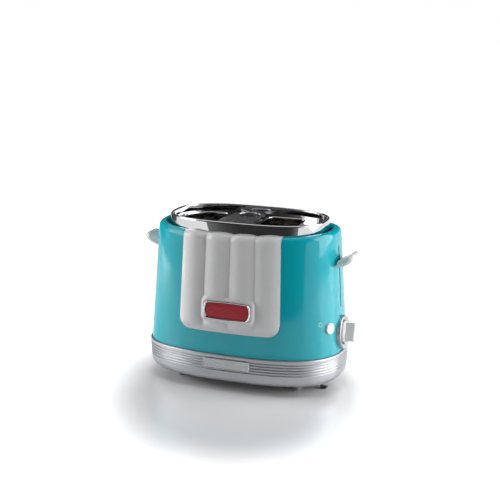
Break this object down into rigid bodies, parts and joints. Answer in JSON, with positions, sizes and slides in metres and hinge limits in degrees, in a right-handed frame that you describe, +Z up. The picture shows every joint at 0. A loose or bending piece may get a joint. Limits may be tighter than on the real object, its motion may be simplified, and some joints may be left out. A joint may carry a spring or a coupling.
{
  "type": "hot dog grill",
  "caption": "Countertop hot dog grill: oval shell, fluted front panel, ribbed base ring, bun slots, lift-out sausage basket, lift lever, timer dial, stop button and crumb tray.",
  "frame": {"origin": "on the floor under the middle of the body", "axes": "+Z up; -Y the front with the white panel; +X the end with the lift lever and the dial"},
  "size_m": [0.2752, 0.1593, 0.2061],
  "materials": {
    "teal_plastic": "gloss teal moulding",
    "white_plastic": "gloss white moulding",
    "red_enamel": "bare red enamel",
    "silver_plastic": "silver painted, satin",
    "chrome": "polished",
    "steel_sheet": "plain sheet",
    "polished_steel": "polished",
    "black_plastic": "heat-resistant moulding",
    "rubber": "grey, matt",
    "mica": "mica board",
    "circuit_board": "green laminate",
    "copper": "enamelled copper winding"
  },
  "bodies": {
    "housing": {"outer_shell": "teal_plastic", "front_panel": "white_plastic", "badge_frame": "chrome", "badge_insert": "red_enamel", "base_ring": "silver_plastic", "nameplate": "silver_plastic", "base_pan": "black_plastic", "cord_gland": "rubber", "foot_front_left": "rubber", "foot_front_right": "rubber", "foot_rear_left": "rubber", "foot_rear_right": "rubber", "cord_hook_left": "black_plastic", "cord_hook_right": "black_plastic", "chrome_rim": "chrome", "top_deck": "polished_steel", "top_collar": "black_plastic", "chassis_plate": "steel_sheet", "chamber_wrap": "steel_sheet", "control_bulkhead": "steel_sheet", "heater_left_outer": "mica", "heater_left_inner": "mica", "heater_right_inner": "mica", "heater_right_outer": "mica", "bun_guard_left_outer": "steel_sheet", "bun_guard_left_inner": "steel_sheet", "bun_guard_right_inner": "steel_sheet", "bun_guard_right_outer": "steel_sheet", "guide_rod_front": "steel_sheet", "guide_rod_rear": "steel_sheet", "return_spring_front": "steel_sheet", "return_spring_rear": "steel_sheet", "magnet_core": "steel_sheet", "magnet_coil": "copper", "side_handle": "white_plastic", "dial_bezel": "silver_plastic", "timer_unit": "black_plastic", "stop_switch": "black_plastic", "control_board": "circuit_board"},
    "carriage": {"carriage_frame": "steel_sheet", "bun_platform_left": "steel_sheet", "bun_platform_right": "steel_sheet", "basket_platform": "steel_sheet", "latch_keeper": "steel_sheet", "lift_lever": "white_plastic"},
    "dial": {"timer_dial": "white_plastic", "dial_shaft": "steel_sheet"},
    "button": {"stop_button": "white_plastic"},
    "basket": {"sausage_basket": "steel_sheet"},
    "tray": {"crumb_tray": "steel_sheet"}
  },
  "joints": [
    {"name": "lever_slide", "type": "slide", "parent": "housing", "child": "carriage", "axis": [0, 0, 1], "range_m": [-0.052, 0.015], "stiffness_N_per_m": 60, "springref_m": 0.02, "deforming": ["return_spring_front", "return_spring_rear"]},
    {"name": "basket_lift", "type": "slide", "parent": "housing", "child": "basket", "axis": [0, 0, 1], "range_m": [0, 0.16]},
    {"name": "tray_slide", "type": "slide", "parent": "housing", "child": "tray", "axis": [0, 1, 0], "range_m": [0, 0.115]},
    {"name": "dial_turn", "type": "hinge", "parent": "housing", "child": "dial", "pos_m": [0.1213, 0, 0.0691], "axis": [0.9977, 0, 0.0674], "range_deg": [-270, 0]},
    {"name": "button_push", "type": "slide", "parent": "housing", "child": "button", "axis": [-0.9116, 0.4055, -0.0674], "range_m": [0, 0.002], "stiffness_N_per_m": 500}
  ]
}
